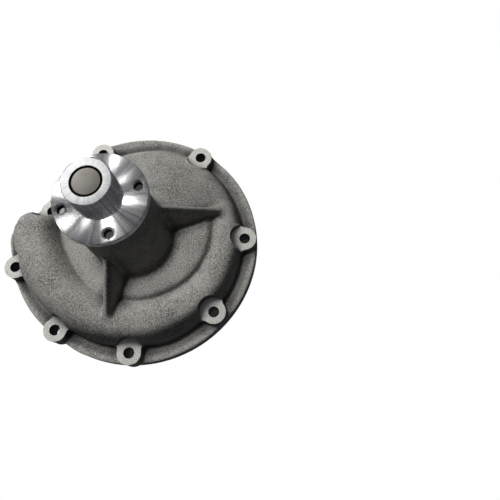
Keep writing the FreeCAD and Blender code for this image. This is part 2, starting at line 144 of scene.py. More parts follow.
def between(table, x):
    """Values at x on a smooth curve through (x, value) rows; level beyond the ends."""
    xs, ys = (np.array(column, float) for column in zip(*table))
    slopes = np.empty_like(ys)
    slopes[1:-1] = (ys[2:] - ys[:-2]) / (xs[2:] - xs[:-2])
    slopes[0] = (ys[1] - ys[0]) / (xs[1] - xs[0])
    slopes[-1] = (ys[-1] - ys[-2]) / (xs[-1] - xs[-2])
    x = np.clip(x, xs[0], xs[-1])
    i = np.clip(np.searchsorted(xs, x, "right") - 1, 0, len(xs) - 2)
    width = xs[i + 1] - xs[i]
    t = (x - xs[i]) / width
    bend = width * t * (1 - t) * (slopes[i] * (1 - t) - slopes[i + 1] * t)
    return ys[i] + (ys[i + 1] - ys[i]) * t * t * (3 - 2 * t) + bend


def closed_curve(points, per_span=16):
    """Catmull-Rom curve through polar points, as an array of (x, y)."""
    p = np.array([polar(r, a) for r, a in points])
    t = (np.arange(per_span) / per_span)[:, None]
    spans = []
    for i in range(len(p)):
        a, b, c, d = (p[(i + k - 1) % len(p)] for k in range(4))
        spans.append(0.5 * (2 * b + (c - a) * t + (2 * a - 5 * b + 4 * c - d) * t ** 2
                            + (3 * b - a - 3 * c + d) * t ** 3))
    return np.concatenate(spans)


def outline_distance(curve, x, y):
    """Signed distance in plan to a closed polyline, negative inside."""
    nearest = np.full(x.shape, 1e9)
    inside = np.zeros(x.shape, bool)
    for (x0, y0), (x1, y1) in zip(curve, np.roll(curve, -1, axis=0)):
        dx, dy = x1 - x0, y1 - y0
        t = np.clip(((x - x0) * dx + (y - y0) * dy) / (dx * dx + dy * dy), 0.0, 1.0)
        nearest = np.minimum(nearest, (x - x0 - t * dx) ** 2 + (y - y0 - t * dy) ** 2)
        if y0 != y1:
            crosses = ((y0 > y) != (y1 > y)) & (x < x0 + (y - y0) * dx / dy)
            inside ^= crosses
    return np.where(inside, -1.0, 1.0) * np.sqrt(nearest)


def new_object(name, points, faces, smooth_angle=30.0):
    """Mesh object from points in millimetres and faces of equal length."""
    mesh = bpy.data.meshes.new(name)
    points = np.asarray(points, np.float32) * MM
    if isinstance(faces, np.ndarray):
        mesh.vertices.add(len(points))
        mesh.vertices.foreach_set("co", points.ravel())
        corners = faces.shape[1]
        mesh.loops.add(faces.size)
        mesh.loops.foreach_set("vertex_index", faces.astype(np.int32).ravel())
        mesh.polygons.add(len(faces))
        mesh.polygons.foreach_set("loop_start", np.arange(len(faces), dtype=np.int32) * corners)
        mesh.update(calc_edges=True)
    else:
        mesh.from_pydata(points.tolist(), [], faces)
    mesh.validate()
    obj = bpy.data.objects.new(name, mesh)
    bpy.context.scene.collection.objects.link(obj)
    shade(obj, smooth_angle)
    return obj


def shade(obj, smooth_angle=30.0):
    obj.data.polygons.foreach_set("use_smooth", [True] * len(obj.data.polygons))
    obj.data.set_sharp_from_angle(angle=math.radians(smooth_angle))


def lathe(name, profile, segments=192, centre=(0.0, 0.0)):
    """Solid of revolution from (radius, z) corners, counter-clockwise in the r-z plane."""
    turns = 2 * np.pi * np.arange(segments) / segments
    points, rings = [], []
    for r, z in profile:
        first = len(points)
        if r < 1e-6:
            points.append((centre[0], centre[1], z))
            rings.append([first] * segments)
        else:
            points += [(centre[0] + r * math.cos(t), centre[1] + r * math.sin(t), z) for t in turns]
            rings.append(list(range(first, first + segments)))
    faces = []
    for low, high in zip(rings, rings[1:] + rings[:1]):
        for i in range(segments):
            j = (i + 1) % segments
            corners = [low[i], low[j], high[j], high[i]]
            unique = [c for k, c in enumerate(corners) if c not in corners[:k]]
            if len(unique) > 2:
                faces.append(unique)
    return new_object(name, points, faces)


def merged(name, objects):
    """One object from several that don't overlap."""
    points, faces = [], []
    for obj in objects:
        first = len(points)
        points += [tuple(v.co / MM) for v in obj.data.vertices]
        faces += [[first + i for i in p.vertices] for p in obj.data.polygons]
        bpy.data.objects.remove(obj)
    return new_object(name, points, faces)


def carve(obj, cutter, solver="MANIFOLD"):
    """Cuts one object out of another and throws the cutter away."""
    cut = obj.modifiers.new("carve", "BOOLEAN")
    cut.operation, cut.solver, cut.object = "DIFFERENCE", solver, cutter
    graph = bpy.context.evaluated_depsgraph_get()
    mesh = bpy.data.meshes.new_from_object(obj.evaluated_get(graph))
    obj.modifiers.clear()
    old, obj.data = obj.data, mesh
    mesh.name = old.name
    bpy.data.meshes.remove(old)
    bpy.data.objects.remove(cutter)


def surface_net(field, origin, step):
    """Points and quads on the zero level of a field sampled on a grid."""
    inside = field < 0
    shape = [n - 1 for n in field.shape]
    corners = [(i, j, k) for i in (0, 1) for j in (0, 1) for k in (0, 1)]
    count = np.zeros(shape, np.int8)
    for i, j, k in corners:
        count += inside[i:i + shape[0], j:j + shape[1], k:k + shape[2]]
    cells = np.argwhere((count > 0) & (count < 8))
    number = np.full(shape, -1, np.int32)
    number[tuple(cells.T)] = np.arange(len(cells))
    value = {c: field[tuple((cells + c).T)] for c in corners}
    total, hits = np.zeros((len(cells), 3)), np.zeros(len(cells))
    for a in corners:
        for axis in range(3):
            if a[axis]:
                continue
            b = tuple(1 if n == axis else a[n] for n in range(3))
            crossed = (value[a] < 0) != (value[b] < 0)
            t = value[a] / np.where(crossed, value[a] - value[b], 1.0)
            point = np.repeat(np.array([a], float), len(cells), axis=0)
            point[:, axis] = t
            total[crossed] += point[crossed]
            hits += crossed
    points = origin + step * (cells + total / hits[:, None])
    quads = []
    for axis in range(3):
        u, v = (axis + 1) % 3, (axis + 2) % 3
        low = [slice(None)] * 3
        low[axis] = slice(0, -1)
        high = [slice(None)] * 3
        high[axis] = slice(1, None)
        starts, ends = inside[tuple(low)], inside[tuple(high)]
        edges = np.argwhere(starts != ends)
        edges = edges[(edges[:, u] > 0) & (edges[:, v] > 0)
                      & (edges[:, u] < field.shape[u] - 1) & (edges[:, v] < field.shape[v] - 1)]
        ring = []
        for du, dv in ((-1, -1), (0, -1), (0, 0), (-1, 0)):
            cell = edges.copy()
            cell[:, u] += du
            cell[:, v] += dv
            ring.append(number[tuple(cell.T)])
        quad = np.stack(ring, axis=1)
        outward = starts[tuple(edges.T)]
        quad[~outward] = quad[~outward][:, ::-1]
        quads.append(quad)
    return points, np.concatenate(quads)


# ---- the sand-cast housing ------------------------------------------------------------------


def cast_height(x, y):
    """Outside height of the casting over plan points."""
    radius, angle = np.hypot(x, y), np.degrees(np.arctan2(y, x))
    along = np.where(angle > 120, angle - 360, angle)
    valley = between(VALLEY, along)
    place = CREST_PLACE[0] + (CREST_PLACE[1] - CREST_PLACE[0]) * np.clip(
        (along - SCROLL_START) / (SCROLL_END - SCROLL_START), 0.0, 1.0)
    rows = sorted((a + turn, r) for r, a in WALL for turn in (-360, 0, 360))
    wall = between(rows, np.maximum(along, SCROLL_START))
    crest_r = valley + place * (wall - valley)
    end = np.radians(np.clip(along, SCROLL_START, SCROLL_END))
    past_end = (along < SCROLL_START) | (along > SCROLL_END)
    to_end = np.hypot(x - crest_r * np.cos(end), y - crest_r * np.sin(end))
    off = np.where(past_end, -to_end, radius - crest_r)
    inner = np.maximum(-off, 0.0) / (crest_r - valley)
    outer = np.maximum(off, 0.0) / (wall - crest_r + OUTER_REACH)
    drop = between(VALLEY_DROP, along)
    floor = PLATEAU_Z - drop
    swell = 1 - inner ** INNER_FLANK - outer ** 2
    scroll = floor + (between(CREST, along) - floor) * np.maximum(swell, -2.0)
    in_plateau = 1 - smooth_step(along, SCROLL_END - 2, SCROLL_END + 16)
    in_plateau = in_plateau * smooth_step(along, -222, -206)
    dip = drop * np.exp(-((radius - valley) / VALLEY_WIDTH) ** 2)
    fade = smooth_step(radius, valley, valley + 12)
    plateau = PLATEAU_Z - dip - fade * drop
    t = np.clip((radius - SNOUT_FOOT_R) / (DOME_EDGE_R - SNOUT_FOOT_R), -0.2, 1.2)
    dome = DOME_TOP_Z + (DOME_EDGE_Z - DOME_TOP_Z) * (0.75 * t + 0.25 * t * np.abs(t))
    base = dome + (plateau - dome) * in_plateau
    return 0.5 * (base + scroll + np.sqrt((base - scroll) ** 2 + 2.5 ** 2))


def rib_field(x, y, z, angle, tip_r):
    """Distance field of one gusset with a rounded crest."""
    c, s = math.cos(math.radians(angle)), math.sin(math.radians(angle))
    along, across = x * c + y * s, y * c - x * s
    foot = SNOUT_TOP_R + 3.0
    fall = Vector((tip_r - 1 - foot, RIB_TIP_Z - RIB_TOP_Z)).normalized()
    crest = -(along - foot) * fall.y + (z - RIB_TOP_Z) * fall.x
    sides = np.abs(across) - RIB_THICK / 2 + 0.03 * (crest + 5)
    rib = smooth_max(sides, crest, 6.0)
    rib = smooth_max(rib, along - tip_r - 1, 3.0)
    return np.maximum(np.maximum(rib, 12 - along), 15 - z)


def casting_field(x2, y2, z1):
    """Distance field of the whole rough casting, before any machining."""
    x, y, z = x2[:, :, None], y2[:, :, None], z1[None, None, :]
    radius = np.hypot(x, y)
    rim_arc = [(RIM_R, a) for a in np.linspace(RIM_TO, RIM_FROM, 25)[1:-1]]
    flange_edge = outline_distance(closed_curve(TAIL + rim_arc), x2, y2)[:, :, None]
    wall_edge = outline_distance(closed_curve(WALL), x2, y2)[:, :, None]
    water_edge = outline_distance(closed_curve(VOLUTE), x2, y2)[:, :, None]
    height = cast_height(x2, y2)
    slope_x, slope_y = np.gradient(height, GRID_STEP)
    steep = np.sqrt(1 + np.minimum(slope_x ** 2 + slope_y ** 2, 4.0))[:, :, None]
    above = (z - height[:, :, None]) / steep

    body = smooth_max(wall_edge + WALL_SLOPE * (z - FLANGE_TOP), above, SHOULDER)
    band = TROUGH_Z + (FLANGE_TOP - TROUGH_Z) * smooth_step(wall_edge, 1.0, TROUGH_RISE)
    flange = smooth_max(flange_edge, z - band, 2.0)
    body = smooth_min(body, flange, FILLET)
    taper = (SNOUT_FOOT_R - SNOUT_TOP_R) / (SNOUT_TOP - SNOUT_FOOT_Z)
    snout = radius - SNOUT_FOOT_R + taper * (z - SNOUT_FOOT_Z)
    snout = np.maximum(snout, SNOUT_FOOT_Z - z)
    body = smooth_min(body, snout, SNOUT_FILLET)
    for angle, tip_r in zip(RIB_ANGLES, RIB_TIPS):
        body = smooth_min(body, rib_field(x, y, z, angle, tip_r), RIB_FILLET)

    outline = flange_edge
    hollow = smooth_max(water_edge, above + WALL_THICK, 10.0)
    for boss_r, boss_angle in BOSSES:
        cx, cy = polar(boss_r, boss_angle)
        from_axis = np.hypot(x2 - cx, y2 - cy)[:, :, None]
        pillar = np.maximum(from_axis - BOSS_R + 0.03 * (z - BOSS_TOP), z - BOSS_TOP - 3)
        body = smooth_min(body, pillar, FILLET)
        outline = smooth_min(outline, from_axis - BOSS_R, 1.5)
        backing = np.maximum(from_axis - SPOTFACE_R - BACKING, BOSS_TOP - BACKING - z)
        hollow = smooth_max(hollow, -backing, 4.0)
    return smooth_max(np.maximum(body, outline + EDGE_TRIM), -hollow, 1.5)


def box(name, low, high):
    (x0, y0, z0), (x1, y1, z1) = low, high
    points = [(x, y, z) for x in (x0, x1) for y in (y0, y1) for z in (z0, z1)]
    faces = [(0, 1, 3, 2), (4, 6, 7, 5), (0, 4, 5, 1), (2, 3, 7, 6), (0, 2, 6, 4), (1, 5, 7, 3)]
    return new_object(name, points, faces)


def cast_housing():
    """The rough casting, then the cuts that a mill, a drill and a boring bar make in it."""
    xs = np.arange(*GRID_X, GRID_STEP)
    ys = np.arange(*GRID_Y, GRID_STEP)
    zs = np.arange(GRID_BASE, SNOUT_TOP + 5, GRID_STEP)
    x2, y2 = np.meshgrid(xs, ys, indexing="ij")
    field = casting_field(x2, y2, zs)
    field[:, :, 0] = field[:, :, -1] = 1.0
    points, quads = surface_net(field, np.array([xs[0], ys[0], zs[0]]), GRID_STEP)
    body = new_object("pump_casting", points, quads)

    spotfaces = [lathe("cut", [(0, BOSS_TOP), (SPOTFACE_R, BOSS_TOP), (SPOTFACE_R, CLEAR_Z),
                               (0, CLEAR_Z)], 96, polar(r, a)) for r, a in BOSSES]
    floor_cut = box("cut", (-200, -200, -20), (200, 200, GASKET_THICK))
    bore = lathe("cut", [(0, 12), (SEAL_BORE_R, 12), (SEAL_BORE_R, SEAL_BORE_TOP),
                         (WEEP_CHAMBER_R, SEAL_BORE_TOP + 0.5), (WEEP_CHAMBER_R, RACE_FOOT),
                         (RACE_R, RACE_FOOT), (RACE_R, CLIP_Z[0]), (CLIP_GROOVE_R, CLIP_Z[0]),
                         (CLIP_GROOVE_R, CLIP_Z[1]), (RACE_R, CLIP_Z[1]), (RACE_R, 110.4),
                         (RACE_R + 1.6, SNOUT_TOP), (60, SNOUT_TOP), (60, 160), (0, 160)])
    carve(body, merged("cuts", spotfaces + [floor_cut, bore]))
    holes = [lathe("cut", [(0, -5), (BOLT_HOLE_R, -5), (BOLT_HOLE_R, CLEAR_Z), (0, CLEAR_Z)],
                   64, polar(r, a)) for r, a in BOSSES]
    carve(body, merged("holes", holes))
    weep = lathe("weep", [(0, 0), (WEEP_R, 0), (WEEP_R, 50), (0, 50)], 48)
    wx, wy = polar(1, WEEP_ANGLE)
    outward = Vector((wx, wy, 0)).to_track_quat("Z", "Y").to_matrix().to_4x4()
    weep.data.transform(Matrix.Translation((wx * 12 * MM, wy * 12 * MM, WEEP_Z * MM)) @ outward)
    carve(body, weep)
    shade(body, 32.0)
    return body


# ---- materials ------------------------------------------------------------------------------


CORNER_REACH = 15.0           # how far from a corner the painted shade reaches
# colour of the painted shade in corners, holes and narrow gaps
PAINTED_SHADE_COLOR = (0.012, 0.012, 0.015)


class Nodes:
    """A material's node tree, built step by step from one shader."""

    def __init__(self, name):
        self.material = bpy.data.materials.new(name)
        self.material.use_nodes = True
        self.tree = self.material.node_tree
        self.shader = self.tree.nodes["Principled BSDF"]
        self.place = self.tree.nodes.new("ShaderNodeTexCoord").outputs["Object"]

    def add(self, kind, links=(), **settings):
        """A node; settings name its properties, or its inputs by position as i0, i1."""
        node = self.tree.nodes.new(kind)
        for key, value in settings.items():
            if key[0] == "i" and key[1:].isdigit():
                node.inputs[int(key[1:])].default_value = value
            else:
                setattr(node, key, value)
        for socket, source in dict(links).items():
            self.tree.links.new(source, node.inputs[socket])
        return node

    def noise(self, scale, detail=3.0, rough=0.6, stretch=(1, 1, 1)):
        mapped = self.add("ShaderNodeMapping", {"Vector": self.place}, i3=stretch)
        node = self.add("ShaderNodeTexNoise", {"Vector": mapped.outputs[0]})
        node.inputs["Scale"].default_value = scale
        node.inputs["Detail"].default_value = detail
        node.inputs["Roughness"].default_value = rough
        return node.outputs["Fac"]

    def spokes(self, scale):
        """Noise that changes only round the shaft axis, so it runs out in radial streaks."""
        split = self.add("ShaderNodeSeparateXYZ", {0: self.place})
        level = self.add("ShaderNodeCombineXYZ", {0: split.outputs[0], 1: split.outputs[1]})
        turn = self.add("ShaderNodeVectorMath", {0: level.outputs[0]}, operation="NORMALIZE")
        node = self.add("ShaderNodeTexNoise", {"Vector": turn.outputs[0]})
        node.inputs["Scale"].default_value = scale
        node.inputs["Detail"].default_value = 5.0
        node.inputs["Roughness"].default_value = 0.7
        return node.outputs["Fac"]

    def ramp(self, source, stops):
        node = self.add("ShaderNodeValToRGB", {0: source})
        elements = node.color_ramp.elements
        while len(elements) < len(stops):
            elements.new(0.5)
        for element, (at, value) in zip(elements, stops):
            element.position = at
            color = value if isinstance(value, tuple) else (value, value, value)
            element.color = (*color, 1.0)
        return node.outputs["Color"]

    def math(self, operation, a, b):
        links, settings = {}, {"operation": operation}
        for i, value in enumerate((a, b)):
            if isinstance(value, (int, float)):
                settings["i%d" % i] = value
            else:
                links[i] = value
        return self.add("ShaderNodeMath", links, **settings).outputs[0]

    def mix(self, factor, a, b, blend="MIX"):
        node = self.add("ShaderNodeMix", data_type="RGBA", blend_type=blend)
        for index, value in ((0, factor), (6, a), (7, b)):
            if isinstance(value, (int, float, tuple)):
                node.inputs[index].default_value = (*value, 1.0) if isinstance(value, tuple) else value
            else:
                self.tree.links.new(value, node.inputs[index])
        return node.outputs[2]

    def painted_corner_shade(self, tone, amount):
        """Painted shade where the surface is crowded by others: corners, holes and narrow gaps."""
        open_sky = self.add("ShaderNodeAmbientOcclusion", i1=CORNER_REACH * MM).outputs["AO"]
        return self.mix(self.ramp(open_sky, [(0.55, amount), (0.92, 0.0)]), tone, PAINTED_SHADE_COLOR)

    def bump(self, height, strength, depth_mm, under=None):
        links = {"Height": height}
        if under is not None:
            links["Normal"] = under
        node = self.add("ShaderNodeBump", links)
        node.inputs["Strength"].default_value = strength
        node.inputs["Distance"].default_value = depth_mm * MM
        return node.outputs["Normal"]

    def set(self, **inputs):
        """Shader inputs by name, with underscores for spaces: a number, a colour or a socket."""
        for key, value in inputs.items():
            socket = self.shader.inputs[key.replace("_", " ")]
            if isinstance(value, bpy.types.NodeSocket):
                self.tree.links.new(value, socket)
            else:
                is_color = isinstance(value, tuple) and len(value) == 3
                socket.default_value = (*value, 1.0) if is_color else value
        return self.material


def cast_iron(name, dark, light, worn, grain_mm=1.15):
    """Shot-blasted sand casting: speckled grain, patchy tone, edges rubbed brighter, painted shade in
    corners and hollows.
    """
    n = Nodes(name)
    grain = n.noise(1.0 / (grain_mm * MM), 4.0, 0.7)
    fine = n.noise(2.6 / (grain_mm * MM), 2.0, 0.6)
    patches = n.noise(38.0, 3.0, 0.55)
    tone = n.ramp(grain, [(0.41, dark), (0.60, light)])
    tone = n.mix(n.ramp(patches, [(0.35, 0.0), (0.7, 0.35)]), tone, worn)
    geometry = n.add("ShaderNodeNewGeometry")
    edges = n.ramp(geometry.outputs["Pointiness"], [(0.50, 0.0), (0.58, 0.8)])
    tone = n.mix(edges, tone, worn)
    # painted shade: the casting darker in corners, creases and holes, where shade falls
    tone = n.painted_corner_shade(tone, 0.85)
    rough = n.ramp(fine, [(0.3, 0.50), (0.7, 0.72)])
    normal = n.bump(patches, 0.25, 1.2)
    normal = n.bump(grain, 0.8, 0.45, normal)
    normal = n.bump(fine, 0.4, 0.15, normal)
    return n.set(Base_Color=tone, Roughness=rough, Normal=normal, Metallic=0.3,
                 Specular_IOR_Level=0.2)


def milled_iron(name):
    """Face cut by a spotfacer or mill: brighter, with fine arcs and open grain."""
    n = Nodes(name)
    grain = n.noise(1400.0, 3.0, 0.7)
    marks = n.noise(260.0, 2.0, 0.5, (1.0, 7.0, 1.0))
    tone = n.ramp(grain, [(0.35, (0.24, 0.235, 0.22)), (0.62, (0.58, 0.57, 0.53))])
    # painted shade: the cut faces darker in bolt holes and under the hub's flange
    tone = n.painted_corner_shade(tone, 0.97)
    rough = n.ramp(marks, [(0.3, 0.54), (0.7, 0.7)])
    normal = n.bump(marks, 0.2, 0.05)
    normal = n.bump(grain, 0.3, 0.06, normal)
    return n.set(Base_Color=tone, Roughness=rough, Normal=normal, Metallic=0.3)


def turned_steel(name, color, roughness=(0.19, 0.22), anisotropic=1.0, lines=2600.0,
                 streaks=0.6, corner_shade=0.0, metallic=0.94):
    """Lathe-turned surface: fine rings about the shaft axis that stretch every reflection."""
    n = Nodes(name)
    split = n.add("ShaderNodeSeparateXYZ", {0: n.place})
    squares = [n.math("POWER", split.outputs[axis], 2.0) for axis in (0, 1)]
    radius = n.math("SQRT", n.math("ADD", *squares), 0.0)
    across = n.add("ShaderNodeCombineXYZ", {0: radius, 1: split.outputs[2]}).outputs[0]
    rings = n.add("ShaderNodeTexNoise", {"Vector": across})
    rings.inputs["Scale"].default_value = lines
    rings.inputs["Detail"].default_value = 2.0
    smears = n.noise(55.0, 4.0, 0.6)
    chatter = n.spokes(9.0)
    tone = n.mix(n.ramp(smears, [(0.35, 0.0), (0.75, 0.25)]), color, tuple(c * 0.75 for c in color))
    tone = n.mix(n.ramp(chatter, [(0.42, streaks), (0.60, 0.0)]), tone,
                 tuple(c * 0.3 for c in color))
    # painted shade: the turned surface darker in corners and hollows, as much as the argument asks
    tone = n.painted_corner_shade(tone, corner_shade)
    rough = n.math("ADD", n.ramp(smears, [(0.3, roughness[0]), (0.75, roughness[1])]),
                   n.math("MULTIPLY", chatter, 0.08))
    normal = n.bump(rings.outputs["Fac"], 0.12, 0.02)
    tangent = n.add("ShaderNodeTangent", direction_type="RADIAL", axis="Z").outputs[0]
    return n.set(Base_Color=tone, Roughness=rough, Normal=normal, Tangent=tangent,
                 Metallic=metallic, Anisotropic=anisotropic, Anisotropic_Rotation=0.25)


def ground_face(name, color):
    """Faced-off end: fine rings, nearly even shine."""
    n = Nodes(name)
    smears = n.noise(90.0, 3.0, 0.6)
    scratches = n.noise(600.0, 2.0, 0.5, (1.0, 9.0, 1.0))
    tone = n.mix(n.ramp(smears, [(0.45, 0.0), (0.8, 0.25)]), color, tuple(c * 0.8 for c in color))
    darker = tuple(c * 0.6 for c in color)
    tone = n.mix(n.ramp(n.spokes(6.0), [(0.40, 0.45), (0.56, 0.0)]), tone, darker)
    rough = n.ramp(scratches, [(0.3, 0.52), (0.7, 0.62)])
    return n.set(Base_Color=tone, Roughness=rough, Normal=n.bump(scratches, 0.1, 0.01), Metallic=0.6)


def plain_metal(name, color, roughness=0.3, grain=900.0):
    """Pressed, ground or drawn metal with faint scratches and handling marks."""
    n = Nodes(name)
    marks = n.noise(grain, 3.0, 0.6, (1.0, 1.0, 0.2))
    stains = n.noise(70.0, 3.0, 0.6)
    tone = n.mix(n.ramp(stains, [(0.4, 0.0), (0.75, 0.4)]), color, tuple(c * 0.6 for c in color))
    rough = n.ramp(marks, [(0.3, roughness * 0.8), (0.7, roughness * 1.4)])
    return n.set(Base_Color=tone, Roughness=rough, Normal=n.bump(marks, 0.15, 0.02), Metallic=1.0)


def dull_solid(name, color, lighter, roughness=(0.6, 0.8), grain=1200.0, depth_mm=0.05):
    """Paper, rubber, carbon, ceramic or plastic: fine grain with slightly uneven colour."""
    n = Nodes(name)
    fibres = n.noise(grain, 4.0, 0.65)
    clouds = n.noise(45.0, 3.0, 0.5)
    tone = n.mix(fibres, color, lighter)
    tone = n.mix(n.ramp(clouds, [(0.4, 0.0), (0.8, 0.5)]), tone, lighter)
    rough = n.ramp(fibres, [(0.3, roughness[0]), (0.7, roughness[1])])
    return n.set(Base_Color=tone, Roughness=rough, Normal=n.bump(fibres, 0.3, depth_mm))


MATERIALS = {
    "casting": cast_iron("cast_iron", (0.055, 0.055, 0.056), (0.33, 0.318, 0.292),
                         (0.40, 0.386, 0.352)),
    "machined_steel": turned_steel("turned_steel", (0.86, 0.86, 0.87)),
    "shaft_steel": turned_steel("shaft_steel", (0.27, 0.255, 0.23), (0.46, 0.60), 0.3, 900.0,
                                streaks=0.0, metallic=0.85),
    "nose_end": ground_face("nose_end", (0.68, 0.68, 0.685)),
    # near-black metal, a painted shade in the hub's bore and tapped holes and on the shaft's end
    # chamfer
    "oily_groove": plain_metal("oily_groove", (0.035, 0.034, 0.032), 0.5),
    "gasket_paper": dull_solid("gasket_paper", (0.030, 0.036, 0.055), (0.052, 0.060, 0.085)),
    # painted shade on the bearing race, deep in the bore under the hub
    "race_steel": turned_steel("race_steel", (0.66, 0.66, 0.67), (0.2, 0.32), 0.4, streaks=0.0,
                               corner_shade=0.9),
    "ball_steel": plain_metal("ball_steel", (0.80, 0.80, 0.82), 0.12),
    "cage_plastic": dull_solid("cage_plastic", (0.45, 0.31, 0.13), (0.60, 0.45, 0.24), (0.4, 0.55)),
    "seal_rubber": dull_solid("seal_rubber", (0.010, 0.010, 0.011), (0.030, 0.030, 0.032)),
    "spring_steel": plain_metal("spring_steel", (0.32, 0.32, 0.34), 0.38),
    "impeller_iron": cast_iron("impeller_iron", (0.085, 0.082, 0.076), (0.27, 0.26, 0.24),
                               (0.42, 0.41, 0.38)),
    "seal_brass": plain_metal("seal_brass", (0.76, 0.55, 0.24), 0.26),
    "seal_carbon": dull_solid("seal_carbon", (0.018, 0.018, 0.020), (0.045, 0.045, 0.048), (0.3, 0.42)),
    "seat_ceramic": dull_solid("seat_ceramic", (0.78, 0.76, 0.71), (0.88, 0.86, 0.82), (0.22, 0.34)),
}

for node in frame["record"]["subparts"]:
    surface = frame["nodes"][node["node"]]
    surface.data.materials.clear()
    surface.data.materials.append(MATERIALS[node["material_slot"]])


def faces_of(piece):
    """Centre in millimetres, normal and distance from the shaft axis of every face."""
    count = len(piece.data.polygons)
    centre, normal = np.empty(count * 3, np.float32), np.empty(count * 3, np.float32)
    piece.data.polygons.foreach_get("center", centre)
    piece.data.polygons.foreach_get("normal", normal)
    centre, normal = centre.reshape(-1, 3) / MM, normal.reshape(-1, 3)
    return centre, normal, np.hypot(centre[:, 0], centre[:, 1])


def machined_faces(body):
    """Gives the cut faces of the casting their own material, told from the cast skin by place."""
    centre, normal, radius = faces_of(body)
    flat = np.abs(normal[:, 2]) > 0.999
    cut = np.zeros(len(radius), bool)
    for level in (GASKET_THICK, BOSS_TOP, SNOUT_TOP, SEAL_BORE_TOP, RACE_FOOT):
        cut |= flat & (np.abs(centre[:, 2] - level) < 0.02)
    inward = (np.abs(normal[:, 2]) < 0.01) & (radius < SNOUT_TOP_R - 2)
    cut |= inward & (np.abs(radius - RACE_R) < 0.2)
    cut |= inward & (np.abs(radius - SEAL_BORE_R) < 0.2)
    for boss_r, boss_angle in BOSSES:
        cx, cy = polar(boss_r, boss_angle)
        from_axis = np.hypot(centre[:, 0] - cx, centre[:, 1] - cy)
        cut |= (np.abs(normal[:, 2]) < 0.01) & (from_axis < BOLT_HOLE_R + 0.1)
    body.data.polygons.foreach_set("material_index", cut.astype(np.int32))


# ---- pieces ---------------------------------------------------------------------------------


def fan_hub():
    """Turned hub with a pilot nose, undercut at its foot, and four tapped holes."""
    z0, z1, z2, z3 = HUB_Z
    body = lathe("turned_hub", [
        (HUB_BORE_R, z0), (HUB_BARREL_R - 1, z0), (HUB_BARREL_R, z0 + 1), (HUB_BARREL_R, z1 - 1.5),
        (HUB_BARREL_R + 0.4, z1 - 0.5), (HUB_BARREL_R + 1.4, z1), (FLANGE_R - 0.6, z1),
        (FLANGE_R - 0.15, z1 + 0.2), (FLANGE_R, z1 + 0.6), (FLANGE_R, z2 - 0.6),
        (FLANGE_R - 0.15, z2 - 0.2), (FLANGE_R - 0.6, z2), (PILOT_R + 0.1, z2),
        (PILOT_R - 0.4, z2 - 0.15), (PILOT_R - 0.7, z2 + 0.2), (PILOT_R - 0.7, z2 + 1.8),
        (PILOT_R, z2 + 2.2), (PILOT_R, z3 - 0.8),
        (PILOT_R - 0.2, z3 - 0.25), (PILOT_R - 0.8, z3), (HUB_BORE_R + BORE_CHAMFER, z3),
        (HUB_BORE_R, z3 - BORE_CHAMFER)], 256)
    thread = []
    for i in range(int((z2 - z1) / THREAD_PITCH)):
        low = z1 + 0.4 + i * THREAD_PITCH
        thread += [(HUB_HOLE_R, low), (HUB_HOLE_R + THREAD_DEPTH, low + THREAD_PITCH / 2)]
    mouth_r = HUB_HOLE_R + HUB_SINK
    drill = [(0, z1 - 1), (HUB_HOLE_R, z1 - 1)] + thread + [
        (HUB_HOLE_R, z2 - HUB_SINK), (mouth_r, z2), (mouth_r, z2 + 1), (0, z2 + 1)]
    places = [polar(HUB_PCD_R, HUB_HOLE_ANGLE + 90 * i) for i in range(4)]
    holes = [lathe("hole", drill, 48, place) for place in places]
    carve(body, merged("holes", holes))
    shade(body, 30.0)
    body.data.materials.clear()
    for name in ("machined_steel", "nose_end", "oily_groove"):
        body.data.materials.append(MATERIALS[name])
    centre, normal, radius = faces_of(body)
    nose = (normal[:, 2] > 0.99) & (centre[:, 2] > z3 - 0.1)
    # painted shade: the bore and the tapped threads take the near-black metal
    painted_shade_recess = (radius < HUB_BORE_R + BORE_CHAMFER) & (centre[:, 2] < z3 - 0.01)
    from_hole = np.full(len(radius), 99.0)
    for hx, hy in places:
        from_hole = np.minimum(from_hole, np.hypot(centre[:, 0] - hx, centre[:, 1] - hy))
    painted_shade_recess |= (from_hole < HUB_HOLE_R + THREAD_DEPTH) & (centre[:, 2] < z2 - 1.0)
    slots = np.where(painted_shade_recess, 2, np.where(nose, 1, 0))
    body.data.polygons.foreach_set("material_index", slots.astype(np.int32))
    return body


def shaft():
    """Stepped ground shaft with the ball track rolled into it."""
    reach = math.acos((PITCH_R - JOURNAL_R) / BALL_GROOVE_R)
    track = [(PITCH_R - BALL_GROOVE_R * math.cos(a), BALL_Z + BALL_GROOVE_R * math.sin(a))
             for a in np.linspace(-reach, reach, 13)]
    body = lathe("ground_shaft", [
        (0, SHAFT_FOOT), (IMPELLER_SHAFT_R - 0.8, SHAFT_FOOT), (IMPELLER_SHAFT_R, SHAFT_FOOT + 0.8),
        (IMPELLER_SHAFT_R, SEAT_FOOT), (SEAL_SHAFT_R, SEAT_FOOT + 0.6), (SEAL_SHAFT_R, RACE_FOOT - 1),
        (JOURNAL_R, RACE_FOOT)] + track + [
        (JOURNAL_R, 104.0), (HUB_BORE_R, 105.0), (HUB_BORE_R, SHAFT_END - 0.7),
        (HUB_BORE_R - 0.2, SHAFT_END - 0.2), (HUB_BORE_R - 0.7, SHAFT_END), (0, SHAFT_END)], 192)
    shade(body, 30.0)
    body.data.materials.clear()
    for name in ("shaft_steel", "oily_groove"):
        body.data.materials.append(MATERIALS[name])
    centre, normal, radius = faces_of(body)
    # painted shade: the shaft's end chamfer takes the near-black metal
    rim = (centre[:, 2] > HUB_Z[3] - 3) & (radius > HUB_BORE_R - 0.65)
    body.data.polygons.foreach_set("material_index", rim.astype(np.int32))
    return body


casting = cast_housing()
casting.data.materials.clear()
casting.data.materials.append(MATERIALS["casting"])
casting.data.materials.append(milled_iron("milled_iron"))
machined_faces(casting)
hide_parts("pump_body")
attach(casting, "housing")

